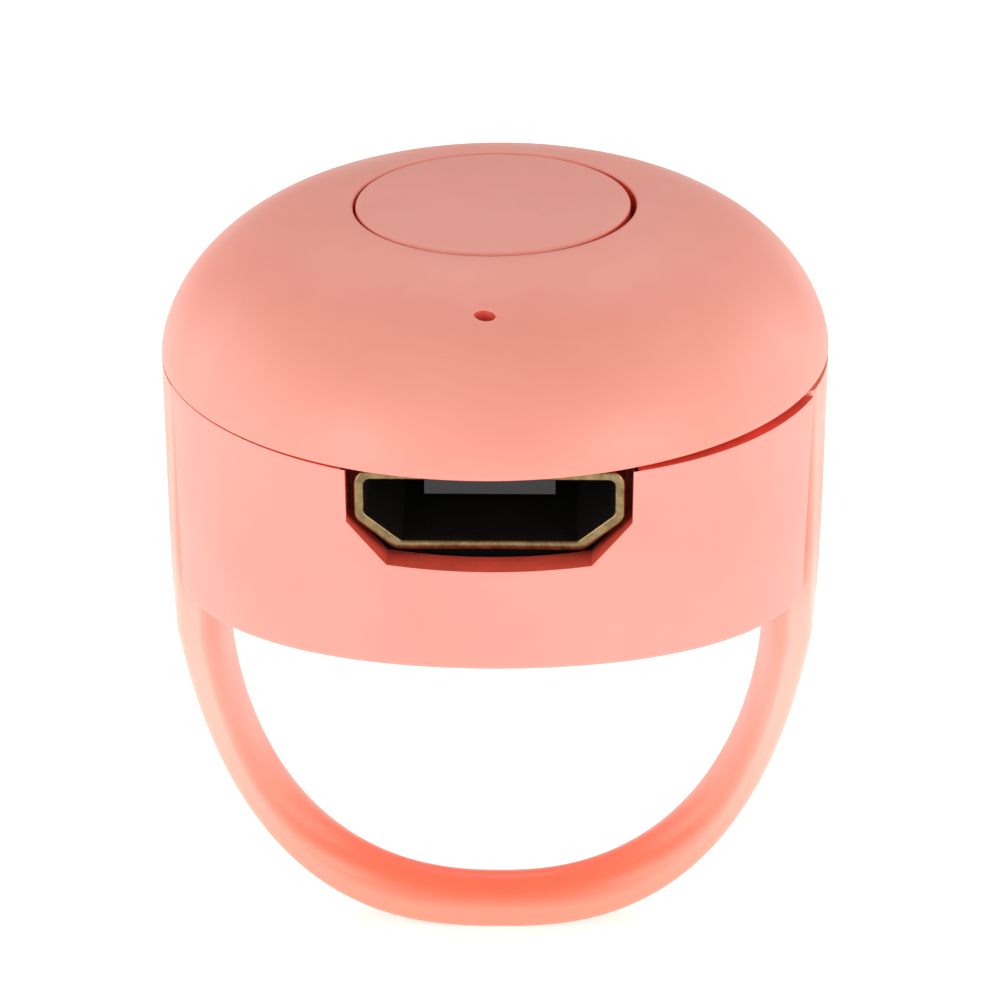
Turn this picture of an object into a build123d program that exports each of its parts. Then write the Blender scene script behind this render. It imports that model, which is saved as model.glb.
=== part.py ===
from build123d import *
import os

os.makedirs("parts", exist_ok=True)

# Finger-worn button remote with a domed round housing, a U-shaped finger band
# and a micro USB charging socket.  Millimetres, +Z up through the button,
# -Y is the side with the socket.  The origin is the centre of the finger opening.

# ---------------------------------------------------------------- dimensions
seam_z = 12.5            # height of the joint line between lid and base
body_r = 10.0            # outer radius of the round housing
wall = 1.0               # shell wall
dome_h = 4.6             # height of the lid above the joint line
dome_round = 3.41        # how flat the crown is across the radius
dome_rise = 1.635        # how upright the lid stands at its rim

base_h = 5.93            # depth of the base at its middle
saddle_drop = 1.07       # extra depth of the base at its two sides
wall_draft = 1.0         # degrees
floor_t = 0.9            # floor thickness at the middle
pry_y = 3.5              # the pry gap in the rim ends here, next to the +X arm
pad_x = 8.0              # inner face of the thick side walls
pad_half_y = 4.2         # half length of those thick side walls

band_half_w = 3.45       # half width of the band's arms at the joint line
band_half_knee = 2.95    # half width where the arms leave the base
band_half_foot = 0.85    # half width of the band at its lowest point
knee_drop = 6.5          # how far the knee lies below the joint line
band_soft_r = 0.5        # rounding of the band's edges next to the finger
arm_gap = 0.03           # clearance between an arm's side and its recess
band_in_x = 8.3          # inner half width of the finger opening
band_in_z = -9.1         # where the inner arch begins, below the joint line
band_in_drop = 9.65      # height of the inner arch
band_in_n = 2.2          # squareness of the inner arch
band_out_z = -1.6        # where the outer arch begins, below the joint line
band_out_drop = 18.6     # height of the outer arch
band_out_n = 2.53        # squareness of the outer arch
tab_x = 8.9              # depth to which the arms sink into the base's sides
peg_r = 0.48             # pegs that lock each arm in its recess
peg_y = 2.0

button_r = 4.07          # button cap
button_hole_r = 4.2      # its hole in the lid
flange_r = 4.75          # hidden flange that keeps the cap in
flange_t = 0.5

board_top = seam_z - 2.55
board_t = 0.6
board_r = 8.75

usb_w = 7.6
usb_h = 2.45
usb_wall = 0.3
usb_mouth = -9.0
usb_back = -4.2

switch_w = 6.0
switch_body_h = 3.1
plunger_r = 1.75
plunger_top = seam_z + 2.0
dome_seat = seam_z - 0.6

light_x = -0.15          # the status light's pinhole lies ahead of the button
light_y = -6.9
light_half_w = 0.31      # it is a small oval
light_half_l = 0.2

post_x = 4.83
post_y = 6.19

cell_w = 11.0
cell_l = 10.6
cell_t = 1.35


def dome_z(r, radius, height):
    """Height of a dome of that radius and crown height, at distance r from its axis."""
    return seam_z + height * (1 - (r / radius) ** dome_round) ** (1 / dome_rise)


def dome_points(r_from, radius, height, count):
    """Points along the dome's section, from radius r_from out to its rim."""
    points = []
    for i in range(count + 1):
        share = 1 - (1 - i / count) ** 2
        r = r_from + (radius - r_from) * share
        points.append((r, dome_z(min(r, radius), radius, height)))
    return points


def arch_points(half_width, top, drop, power, count):
    """Points down one half of an arch, from its spring line to its lowest point."""
    points = []
    for i in range(count + 1):
        x = half_width * (1 - (i / count) ** 2)
        z = top - drop * (1 - (x / half_width) ** power) ** (1 / power)
        points.append((x, seam_z + z))
    return points


# ---------------------------------------------------------------- base shell
saddle_side = seam_z - base_h - saddle_drop
saddle_mid = seam_z - base_h
floor_z = saddle_mid + floor_t

with BuildPart() as base_shell:
    with BuildSketch(Plane.XZ):
        with BuildLine():
            Polyline((-body_r, saddle_side), (-body_r, seam_z), (body_r, seam_z), (body_r, saddle_side))
            ThreePointArc((body_r, saddle_side), (0, saddle_mid), (-body_r, saddle_side))
        make_face()
    extrude(amount=body_r + 1, both=True)
    # round wall, drafted so that it is slightly narrower at the bottom
    with BuildSketch(Plane.XY.offset(seam_z)):
        Circle(body_r)
    extrude(amount=-(base_h + saddle_drop + 1), taper=wall_draft, mode=Mode.INTERSECT)
    # soft edge round the underside
    fillet(base_shell.edges().filter_by_position(Axis.Z, saddle_side - 1, seam_z - 4), 0.2)
    # inside of the cup, with thick walls behind the band's two arms
    with BuildSketch(Plane.XY.offset(floor_z)):
        Circle(body_r - wall)
        with Locations((pad_x + 2, 0), (-pad_x - 2, 0)):
            Rectangle(4, 2 * pad_half_y, mode=Mode.SUBTRACT)
    extrude(amount=base_h, mode=Mode.SUBTRACT)
    # recess for the arm on each side, as tapered as the arm, except at the front of the
    # +X arm, where its edge runs straight down and leaves a groove that widens downwards
    for side in (1, -1):
        with BuildSketch(Plane.YZ.offset(side * tab_x)):
            front_knee = band_half_w if side > 0 else band_half_knee
            with BuildLine():
                Polyline(
                    (-band_half_w - arm_gap, seam_z + 1),
                    (-band_half_w - arm_gap, seam_z),
                    (-front_knee - arm_gap, seam_z - knee_drop),
                    (-front_knee - arm_gap, saddle_side - 1),
                    (band_half_knee + arm_gap, saddle_side - 1),
                    (band_half_knee + arm_gap, seam_z - knee_drop),
                    (band_half_w + arm_gap, seam_z),
                    (band_half_w + arm_gap, seam_z + 1),
                    close=True,
                )
            make_face()
        extrude(amount=side * 2, mode=Mode.SUBTRACT)
    # peg holes through the floor of each recess
    with BuildSketch(Plane.YZ.offset(-tab_x - 1)):
        with Locations((-peg_y, seam_z - 3.4), (peg_y, seam_z - 3.4)):
            Circle(peg_r + 0.04)
    extrude(amount=2 * tab_x + 2, mode=Mode.SUBTRACT)
    # opening for the charging socket, open at the joint line
    with BuildSketch(Plane.XZ.offset(body_r - wall - 1)):
        with BuildLine():
            Polyline(
                (-4.03, seam_z + 1),
                (-4.03, seam_z - 1.6),
                (-2.9, seam_z - 2.75),
                (2.9, seam_z - 2.75),
                (4.03, seam_z - 1.6),
                (4.03, seam_z + 1),
                close=True,
            )
        make_face()
    extrude(amount=3, mode=Mode.SUBTRACT)
    # pockets for the lid's three snap bumps
    with BuildSketch(Plane.XY.offset(seam_z - 1.02)):
        with PolarLocations(body_r - wall + 0.02, 3, start_angle=90):
            Rectangle(0.48, 2.4)
    extrude(amount=0.46, mode=Mode.SUBTRACT)
    # shallow pry gap in the rim, between the socket and the +X arm
    with BuildSketch(Plane.XZ.offset(pry_y)):
        with BuildLine():
            Polyline((4.0, seam_z), (9.3, seam_z - 0.28), (9.3, seam_z + 0.3), (4.0, seam_z + 0.3), close=True)
        make_face()
    extrude(amount=body_r - pry_y, mode=Mode.SUBTRACT)
    # four board posts, the rear two with a locating pin
    with BuildSketch(Plane.XY.offset(floor_z - 0.2)):
        with GridLocations(2 * post_x, 2 * post_y, 2, 2):
            Circle(0.8)
    extrude(amount=board_top - board_t - floor_z + 0.2)
    with BuildSketch(Plane.XY.offset(board_top - board_t)):
        with Locations((post_x, post_y), (-post_x, post_y)):
            Circle(0.38)
    extrude(amount=board_t + 0.3)
base_shell.part.label = "base_shell"
export_step(base_shell.part, "parts/base_shell.step")

# ---------------------------------------------------------------- finger band
with BuildPart() as finger_band:
    # side view of the U, arms first, then the taper seen along the finger's side
    with BuildSketch(Plane.XZ):
        with BuildLine():
            outer = arch_points(body_r + 0.01, band_out_z, band_out_drop, band_out_n, 4)
            outer_far = [(-x, z) for x, z in reversed(outer[:-1])]
            Spline(*outer, *outer_far, tangents=[(0, -1), (0, 1)])
            inner = arch_points(band_in_x, band_in_z, band_in_drop, band_in_n, 4)
            inner_far = [(-x, z) for x, z in reversed(inner[:-1])]
            Spline(*inner, *inner_far, tangents=[(0, -1), (0, 1)])
            Polyline(inner[0], (band_in_x, seam_z), (body_r + 0.01, seam_z), outer[0])
            Polyline(inner_far[-1], (-band_in_x, seam_z), (-body_r - 0.01, seam_z), outer_far[-1])
        make_face()
    extrude(amount=band_half_w, both=True)
    with BuildSketch(Plane.YZ):
        foot_z = seam_z + band_out_z - band_out_drop
        with BuildLine():
            Polyline(
                (-band_half_w, seam_z),
                (-band_half_knee, seam_z - knee_drop),
                (-band_half_foot, foot_z - 0.1),
                (band_half_foot, foot_z - 0.1),
                (band_half_knee, seam_z - knee_drop),
                (band_half_w, seam_z),
                close=True,
            )
        make_face()
    extrude(amount=body_r + 1, both=True, mode=Mode.INTERSECT)
    with BuildSketch(Plane.XY.offset(foot_z - 1)):
        Circle(body_r)
    extrude(amount=30, mode=Mode.INTERSECT)
    # soft rounding of the two edges next to the finger
    inner_arches = finger_band.edges().filter_by(GeomType.BSPLINE).filter_by_position(
        Axis.Z, seam_z + band_in_z - band_in_drop - 0.5, foot_z + 2
    )
    fillet(inner_arches.filter_by(lambda e: abs(e.center().Y) > band_half_foot), band_soft_r)
    # everything above the base's underside is cut away, except the two tabs
    with BuildSketch(Plane.XZ):
        with BuildLine():
            Polyline(
                (-tab_x - 0.02, saddle_side + 0.15),
                (-tab_x - 0.02, seam_z),
                (tab_x + 0.02, seam_z),
                (tab_x + 0.02, saddle_side + 0.15),
            )
            ThreePointArc((tab_x + 0.02, saddle_side + 0.15), (0, saddle_mid - 0.02), (-tab_x - 0.02, saddle_side + 0.15))
        make_face()
    extrude(amount=body_r, both=True, mode=Mode.SUBTRACT)
    with BuildSketch(Plane.XY.offset(seam_z - 0.06)):
        Rectangle(3 * body_r, 3 * body_r)
    extrude(amount=2, mode=Mode.SUBTRACT)
    # pegs that hold each tab in the base's wall
    for side in (1, -1):
        with BuildSketch(Plane.YZ.offset(side * (tab_x + 0.1))):
            with Locations((-peg_y, seam_z - 3.4), (peg_y, seam_z - 3.4)):
                Circle(peg_r)
        extrude(amount=side * (pad_x - tab_x - 0.05))
finger_band.part.label = "finger_band"
export_step(finger_band.part, "parts/finger_band.step")

# ---------------------------------------------------------------- lid shell
with BuildPart() as lid_shell:
    with BuildSketch(Plane.XZ):
        with BuildLine():
            skin = dome_points(0, body_r, dome_h, 8)
            Spline(*skin, tangents=[(1, 0), (0, -1)])
            Line(skin[-1], (body_r - wall, seam_z))
            lining = dome_points(0, body_r - wall, dome_h - wall, 8)
            Spline(*lining, tangents=[(1, 0), (0, -1)])
            Line(lining[0], skin[0])
        make_face()
    revolve(axis=Axis.Z)
    # skirt that drops inside the base's wall
    with BuildSketch(Plane.XY.offset(seam_z - 1.1)):
        Circle(body_r - wall - 0.05)
        Circle(body_r - wall - 0.65, mode=Mode.SUBTRACT)
        with Locations((body_r, 0), (-body_r, 0)):
            Rectangle(2 * (body_r - pad_x) + 0.2, 2 * pad_half_y + 0.3, mode=Mode.SUBTRACT)
        with Locations((0, -body_r)):
            Rectangle(8.6, 8, mode=Mode.SUBTRACT)
    extrude(amount=1.5)
    # three snap bumps on the skirt
    with BuildSketch(Plane.XY.offset(seam_z - 0.98)):
        with PolarLocations(body_r - wall, 3, start_angle=90):
            Rectangle(0.4, 2.2)
    extrude(amount=0.36)
    # collar under the crown that guides the button's flange
    with BuildSketch(Plane.XY.offset(seam_z + 2.0)):
        Circle(flange_r + 0.75)
        Circle(flange_r + 0.08, mode=Mode.SUBTRACT)
    extrude(amount=1.6)
    # hole for the button and for the status light
    with BuildSketch(Plane.XY.offset(seam_z + 1)):
        Circle(button_hole_r)
    extrude(amount=5, mode=Mode.SUBTRACT)
    with BuildSketch(Plane.XY.offset(seam_z + 1)):
        with Locations((light_x, light_y)):
            Ellipse(light_half_w, light_half_l, rotation=-12)
    extrude(amount=5, mode=Mode.SUBTRACT)
    fillet(lid_shell.edges().filter_by(GeomType.CIRCLE).sort_by(Axis.Z)[-1], 0.08)
lid_shell.part.label = "lid_shell"
export_step(lid_shell.part, "parts/lid_shell.step")

# ---------------------------------------------------------------- button cap
flange_top = seam_z + 3.2

with BuildPart() as button_cap:
    with BuildSketch(Plane.XZ):
        with BuildLine():
            top = [(r, dome_z(r, body_r, dome_h)) for r in (0, 1.5, 3.0, button_r)]
            Spline(*top, tangents=[(1, 0), (1, -0.12)])
            Polyline(
                top[-1],
                (button_r, flange_top),
                (flange_r, flange_top),
                (flange_r, flange_top - flange_t),
                (3.1, flange_top - flange_t),
                (3.1, seam_z + 3.4),
                (1.5, seam_z + 3.4),
                (1.5, plunger_top + 0.02),
                (0, plunger_top + 0.02),
                top[0],
            )
        make_face()
    revolve(axis=Axis.Z)
    fillet(button_cap.edges().filter_by(GeomType.CIRCLE).sort_by(Axis.Z)[-1], 0.12)
button_cap.part.label = "button_cap"
export_step(button_cap.part, "parts/button_cap.step")

# ---------------------------------------------------------------- push switch
switch_top = board_top + switch_body_h

with BuildPart() as switch_housing:
    with BuildSketch(Plane.XY.offset(board_top)):
        Rectangle(switch_w, switch_w)
    extrude(amount=switch_body_h)
    fillet(switch_housing.edges().filter_by(Axis.Z), 0.35)
    with BuildSketch(Plane.XY.offset(dome_seat)):
        Circle(2.45)
    extrude(amount=3, mode=Mode.SUBTRACT)
    # riveting studs at the four corners of the cover
    with BuildSketch(Plane.XY.offset(switch_top)):
        with GridLocations(4.6, 4.6, 2, 2):
            Circle(0.3)
    extrude(amount=0.35)
    # grooves for the four legs
    for side in (1, -1):
        with BuildSketch(Plane.XY.offset(board_top)):
            with Locations((side * switch_w / 2, -1.6), (side * switch_w / 2, 1.6)):
                Rectangle(0.8, 0.8)
        extrude(amount=1.0, mode=Mode.SUBTRACT)
switch_housing.part.label = "switch_housing"
export_step(switch_housing.part, "parts/switch_housing.step")

with BuildPart() as switch_cover:
    with BuildSketch(Plane.XY.offset(switch_top)):
        RectangleRounded(switch_w - 0.1, switch_w - 0.1, 0.5)
        Circle(plunger_r + 0.07, mode=Mode.SUBTRACT)
        with GridLocations(4.6, 4.6, 2, 2):
            Circle(0.3, mode=Mode.SUBTRACT)
    extrude(amount=0.25)
switch_cover.part.label = "switch_cover"
export_step(switch_cover.part, "parts/switch_cover.step")

with BuildPart() as switch_plunger:
    with BuildSketch(Plane.XY.offset(dome_seat + 0.55)):
        Circle(2.3)
    extrude(amount=switch_top - dome_seat - 0.57)
    with BuildSketch(Plane.XY.offset(dome_seat + 0.55)):
        Circle(plunger_r)
    extrude(amount=plunger_top - dome_seat - 0.55)
    chamfer(switch_plunger.edges().filter_by(GeomType.CIRCLE).sort_by(Axis.Z)[-1], 0.15)
switch_plunger.part.label = "switch_plunger"
export_step(switch_plunger.part, "parts/switch_plunger.step")

with BuildPart() as switch_snap_dome:
    with BuildSketch(Plane.XZ):
        with BuildLine():
            Polyline(
                (0, dome_seat + 0.52),
                (1.2, dome_seat + 0.42),
                (2.3, dome_seat + 0.12),
                (2.3, dome_seat + 0.01),
                (1.2, dome_seat + 0.31),
                (0, dome_seat + 0.41),
                close=True,
            )
        make_face()
    revolve(axis=Axis.Z)
switch_snap_dome.part.label = "switch_snap_dome"
export_step(switch_snap_dome.part, "parts/switch_snap_dome.step")

with BuildPart() as switch_terminals:
    leg_path = [(2.78, board_top + 0.8), (3.15, board_top + 0.8), (3.15, board_top + 0.15), (4.2, board_top + 0.15)]
    for side in (1, -1):
        for y in (-1.6, 1.6):
            with BuildSketch(Plane.XZ.offset(-y)):
                with BuildLine():
                    line = FilletPolyline(*[(side * x, z) for x, z in leg_path], radius=0.12)
                    offset(line, amount=0.09)
                make_face()
            extrude(amount=0.3, both=True)
switch_terminals.part.label = "switch_terminals"
export_step(switch_terminals.part, "parts/switch_terminals.step")

# ---------------------------------------------------------------- circuit board
board_z = board_top - board_t

with BuildPart() as main_board:
    with BuildSketch(Plane.XY.offset(board_z)):
        Circle(board_r)
        Rectangle(2 * pad_x - 0.3, 2 * board_r, mode=Mode.INTERSECT)
        with Locations((0, -board_r)):
            Rectangle(2 * board_r, 1.2, mode=Mode.SUBTRACT)
        with Locations((post_x, post_y), (-post_x, post_y)):
            Circle(0.42, mode=Mode.SUBTRACT)
        # plated holes for the two cell wires
        with Locations((-1.2, 8.0), (1.2, 8.0)):
            Circle(0.34, mode=Mode.SUBTRACT)
    extrude(amount=board_t)
main_board.part.label = "main_board"
export_step(main_board.part, "parts/main_board.step")

# ---------------------------------------------------------------- charging socket


def socket_outline(width, low, high, bevel_x, bevel_z):
    """Corners of a micro USB section: wide at the top, bevelled at the bottom."""
    half = width / 2
    return [
        (-half, high),
        (-half, low + bevel_z),
        (-half + bevel_x, low),
        (half - bevel_x, low),
        (half, low + bevel_z),
        (half, high),
    ]


usb_low = board_top + 0.02
usb_high = usb_low + usb_h

with BuildPart() as usb_shell:
    with BuildSketch(Plane.XZ.offset(-usb_back)):
        with BuildLine():
            Polyline(*socket_outline(usb_w, usb_low, usb_high, 1.15, 0.95), close=True)
        make_face()
        fillet(vertices(), 0.3)
        with BuildLine():
            inner = socket_outline(
                usb_w - 2 * usb_wall, usb_low + usb_wall, usb_high - usb_wall, 1.03, 0.85
            )
            Polyline(*inner, close=True)
        make_face(mode=Mode.SUBTRACT)
    extrude(amount=usb_back - usb_mouth)
    # two spring windows in the roof
    with BuildSketch(Plane.XY.offset(usb_high - usb_wall - 0.1)):
        with Locations((-1.9, -7.2), (1.9, -7.2)):
            Rectangle(0.7, 1.6)
    extrude(amount=1, mode=Mode.SUBTRACT)
usb_shell.part.label = "usb_shell"
export_step(usb_shell.part, "parts/usb_shell.step")

tongue_top = usb_high - usb_wall - 0.3
tongue_low = tongue_top - 0.5

with BuildPart() as usb_tongue:
    # moulded block that closes the back of the socket
    with BuildSketch(Plane.XZ.offset(-usb_back - 0.05)):
        with BuildLine():
            core = socket_outline(
                usb_w - 2 * usb_wall - 0.06, usb_low + usb_wall + 0.03, usb_high - usb_wall - 0.03, 1.03, 0.85
            )
            Polyline(*core, close=True)
        make_face()
    extrude(amount=1.0)
    # blade that carries the contacts
    with BuildSketch(Plane.XY.offset(tongue_low)):
        with Locations((0, (usb_back - 1 + usb_mouth + 0.9) / 2)):
            Rectangle(3.7, usb_back - 1 - usb_mouth - 0.9 + 0.1)
    extrude(amount=tongue_top - tongue_low)
    # slots for the five contacts along the underside of the blade
    with BuildSketch(Plane.XY.offset(tongue_low)):
        with GridLocations(0.65, 0, 5, 1):
            with Locations((0, (usb_back + usb_mouth + 1.3) / 2)):
                Rectangle(0.32, usb_back - usb_mouth - 1.3 + 0.3)
    extrude(amount=0.15, mode=Mode.SUBTRACT)
usb_tongue.part.label = "usb_tongue"
export_step(usb_tongue.part, "parts/usb_tongue.step")

with BuildPart() as usb_contacts:
    # five flat contacts that run back under the blade and down to the board
    for i in range(5):
        x = (i - 2) * 0.65
        with BuildSketch(Plane.XY.offset(tongue_low + 0.02)):
            with Locations((x, (usb_back + 0.25 + usb_mouth + 1.4) / 2)):
                Rectangle(0.28, usb_back + 0.25 - usb_mouth - 1.4)
        extrude(amount=0.12)
        with BuildSketch(Plane.XY.offset(board_top + 0.02)):
            with Locations((x, usb_back + 0.18)):
                Rectangle(0.28, 0.14)
        extrude(amount=tongue_low + 0.14 - board_top - 0.02)
usb_contacts.part.label = "usb_contacts"
export_step(usb_contacts.part, "parts/usb_contacts.step")

# ---------------------------------------------------------------- chips on the board


def chip(name, width, length, height, x, y, edge):
    """A moulded chip body that sits on the board's upper face."""
    with BuildPart() as body:
        with BuildSketch(Plane.XY.offset(board_top + 0.02)):
            with Locations((x, y)):
                Rectangle(width, length)
        extrude(amount=height)
        chamfer(body.faces().sort_by(Axis.Z)[-1].edges(), edge)
    body.part.label = name
    export_step(body.part, "parts/" + name + ".step")
    return body


radio_chip = chip("radio_chip", 4.0, 3.4, 0.8, 0.6, 5.2, 0.08)
crystal_can = chip("crystal_can", 2.5, 2.0, 0.6, -3.4, 4.5, 0.12)
charge_chip = chip("charge_chip", 1.6, 2.9, 1.0, 6.3, -0.6, 0.1)
antenna_chip = chip("antenna_chip", 1.6, 3.2, 1.1, 6.6, 3.6, 0.05)
status_led = chip("status_led", 1.6, 0.7, 0.6, 0, -3.56, 0.1)

with BuildPart() as chip_resistors:
    with BuildSketch(Plane.XY.offset(board_top + 0.02)):
        with Locations((-6.4, -4.0), (-6.4, -2.8), (-6.4, -1.6), (-6.4, -0.4)):
            Rectangle(1.0, 0.5)
    extrude(amount=0.35)
chip_resistors.part.label = "chip_resistors"
export_step(chip_resistors.part, "parts/chip_resistors.step")

with BuildPart() as chip_capacitors:
    with BuildSketch(Plane.XY.offset(board_top + 0.02)):
        with Locations((-6.3, 0.9), (-6.3, 2.2), (6.3, -3.3), (-2.7, 7.5), (2.7, 7.5)):
            Rectangle(1.6, 0.8)
    extrude(amount=0.8)
chip_capacitors.part.label = "chip_capacitors"
export_step(chip_capacitors.part, "parts/chip_capacitors.step")

# ---------------------------------------------------------------- cell under the board
cell_z = floor_z + 0.2

with BuildPart() as cell_pad:
    with BuildSketch(Plane.XY.offset(floor_z + 0.01)):
        Rectangle(8.0, 8.0)
    extrude(amount=0.18)
cell_pad.part.label = "cell_pad"
export_step(cell_pad.part, "parts/cell_pad.step")

with BuildPart() as battery_cell:
    with BuildSketch(Plane.XY.offset(cell_z)):
        RectangleRounded(cell_w, cell_l, 0.6)
    extrude(amount=cell_t)
    fillet(battery_cell.edges().group_by(Axis.Z)[-1], 0.4)
    # sealed flap at the terminal end
    with BuildSketch(Plane.XY.offset(cell_z)):
        with Locations((0, cell_l / 2 + 0.3)):
            Rectangle(7.2, 1.0)
    extrude(amount=0.2)
battery_cell.part.label = "battery_cell"
export_step(battery_cell.part, "parts/battery_cell.step")

with BuildPart() as protection_board:
    with BuildSketch(Plane.XY.offset(cell_z + 0.22)):
        with Locations((0, cell_l / 2 + 0.42)):
            Rectangle(6.8, 0.76)
    extrude(amount=0.5)
protection_board.part.label = "protection_board"
export_step(protection_board.part, "parts/protection_board.step")

with BuildPart() as cell_tape:
    # film that laps over the small board
    with BuildSketch(Plane.XY.offset(cell_z + 0.74)):
        with Locations((0, cell_l / 2 + 0.42)):
            Rectangle(7.0, 0.8)
    extrude(amount=0.06)
cell_tape.part.label = "cell_tape"
export_step(cell_tape.part, "parts/cell_tape.step")

# each wire leaves the small board and turns up into its hole in the main board
for name, x in (("cell_wire_red", -1.2), ("cell_wire_black", 1.2)):
    with BuildPart() as wire:
        with BuildLine():
            start = (x, cell_l / 2 + 0.82, cell_z + 0.47)
            corner = (x, 8.0, cell_z + 0.47)
            FilletPolyline(start, corner, (x, 8.0, board_top + 0.1), radius=0.5)
        with BuildSketch(Plane(origin=start, z_dir=(0, 1, 0))):
            Circle(0.24)
        sweep()
    wire.part.label = name
    export_step(wire.part, "parts/" + name + ".step")
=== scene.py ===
import bpy
import bmesh
import math
from mathutils import Matrix, Vector


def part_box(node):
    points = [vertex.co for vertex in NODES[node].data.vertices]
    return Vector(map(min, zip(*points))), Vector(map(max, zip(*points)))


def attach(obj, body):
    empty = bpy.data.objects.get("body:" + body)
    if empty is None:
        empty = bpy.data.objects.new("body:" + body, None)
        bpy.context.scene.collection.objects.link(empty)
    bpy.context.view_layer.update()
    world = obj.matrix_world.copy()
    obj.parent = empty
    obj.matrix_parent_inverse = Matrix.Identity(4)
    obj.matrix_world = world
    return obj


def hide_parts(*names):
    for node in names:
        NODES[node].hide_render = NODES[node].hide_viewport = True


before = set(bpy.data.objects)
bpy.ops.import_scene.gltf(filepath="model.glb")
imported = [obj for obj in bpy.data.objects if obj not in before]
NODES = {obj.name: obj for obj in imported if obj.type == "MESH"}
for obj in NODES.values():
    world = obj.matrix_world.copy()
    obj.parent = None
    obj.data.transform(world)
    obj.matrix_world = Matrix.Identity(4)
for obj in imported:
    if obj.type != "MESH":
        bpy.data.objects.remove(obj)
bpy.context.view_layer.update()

MM = 0.001


# ---------------------------------------------------------------- sizes, in mm
# the outer ones are read from the frame, and the rest repeat the part's own
def corners(name):
    """The low and the high corner of a node's box, in mm."""
    return [Vector(c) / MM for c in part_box(name)]


lid_high = corners("lid_shell")[1]
base_high = corners("base_shell")[1]
band_low = corners("finger_band")[0]
cap_high = corners("button_cap")[1]
usb_low, usb_high = corners("usb_shell")

SEAM = base_high.z              # joint line between lid and base
R = lid_high.x                  # outer radius of the housing
DOME_H = cap_high.z - SEAM - 0.06   # crown of the dome, before the lid is tilted
DOME_ROUND = 3.41               # how flat the crown is across the radius
DOME_RISE = 1.635               # how upright the lid stands at its rim
HOLE_R = 4.2                    # hole for the button
CAP_R = 4.07                    # button cap
CAP_EDGE = 0.12                 # rounding of its rim
FLANGE_R = 4.75                 # hidden flange that keeps the cap in
FLANGE_T = 0.5
CAP_SHIFT = -0.05               # the cap sits a little to one side in its hole
LID_TILT = 0.008                # the lid and the button stand a hair higher towards +X
PIN = Vector((-0.15, -6.9))     # oval pinhole of the status light
PIN_HALF = Vector((0.31, 0.2))  # its half length and half width
PIN_TURN = math.radians(-12)
WALL = 1.0                      # shell wall
DRAFT = math.tan(math.radians(1.0))  # slope of the base's wall
SADDLE_MID = 5.93               # depth of the base at its middle
SADDLE_DROP = 1.07              # extra depth at its two sides
FLOOR_DROP = 4.9                # depth of the base's floor below the joint line
NOTCH_TOP = 4.03                # half width of the socket's notch at the joint line
NOTCH_LOW = 2.9                 # and at its lower edge
NOTCH_DROP = 2.75               # depth of that edge below the joint line
NOTCH_BEVEL = 1.15              # height of its bevelled corners
PRY_DROP = 0.2                  # deepest part of the pry gap in the rim
PRY_END = 9.3                   # x at which it is that deep
TAB_X = 8.9                     # depth to which the arms sink into the base
TAB_HALF = 3.45                 # half width of an arm at the joint line
KNEE_HALF = 2.95                # the same where it leaves the base
KNEE_DROP = 6.5                 # depth of that place below the joint line
FOOT_HALF = 0.85                # and at the lowest point of the band
ARM_GAP = 0.03                  # clearance between an arm and its recess
BAND_EDGE_R = 0.2               # rounding of the band's outer edges
# the band's two arches: half width, height of the spring line, drop below it, squareness
BAND_IN = (8.3, SEAM - 9.1, 9.65, 2.2)
BAND_OUT = (R + 0.01, SEAM - 1.6, 18.6, 2.53)
SKIN_COLS = 14                  # columns of faces across the band's outer skin
CROWN_TURNS = 26                # and across the side that faces the finger
CROWN_START = SKIN_COLS + 5     # first point of that side in a section


def dome(r, radius=None, height=None):
    """Height of the lid's skin at distance r from the axis."""
    radius = radius or R
    height = height or DOME_H
    s = max(0.0, 1 - (min(r, radius) / radius) ** DOME_ROUND)
    return SEAM + height * s ** (1 / DOME_RISE)


# ---------------------------------------------------------------- camera
AZ = math.radians(1.1)          # round the object, from the socket's side
EL = math.radians(23.3)         # height of the camera above the joint line, as an angle
TILT = math.radians(25.8)       # how far the camera looks down
ROLL = math.radians(-0.15)
DIST = 110.0
cam_data = bpy.data.cameras.new("camera")
cam = bpy.data.objects.new("camera", cam_data)
bpy.context.scene.collection.objects.link(cam)
bpy.context.scene.camera = cam
cam.location = Vector((
    DIST * math.cos(EL) * math.sin(AZ),
    -DIST * math.cos(EL) * math.cos(AZ),
    DIST * math.sin(EL) + SEAM,
)) * MM
cam.rotation_euler = (
    Matrix.Rotation(AZ, 4, "Z")
    @ Matrix.Rotation(math.pi / 2 - TILT, 4, "X")
    @ Matrix.Rotation(ROLL, 4, "Z")
).to_euler()
cam_data.sensor_width = 36.0
cam_data.lens = 131.3407
cam_data.shift_x = 0.005095
cam_data.clip_start = 0.001
cam_data.clip_end = 10.0


# ---------------------------------------------------------------- mesh helpers
def make(name, verts, faces):
    """A mesh object from points in mm."""
    mesh = bpy.data.meshes.new(name)
    mesh.from_pydata([tuple(c * MM for c in v) for v in verts], [], faces)
    mesh.validate()
    for p in mesh.polygons:
        p.use_smooth = True
    obj = bpy.data.objects.new(name, mesh)
    bpy.context.scene.collection.objects.link(obj)
    return obj


def arc(cx, cz, radius, a0, a1, n):
    """Points along an arc in the r-z plane, angles in degrees."""
    out = []
    for i in range(n + 1):
        a = math.radians(a0 + (a1 - a0) * i / n)
        out.append((cx + radius * math.cos(a), cz + radius * math.sin(a)))
    return out


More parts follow.
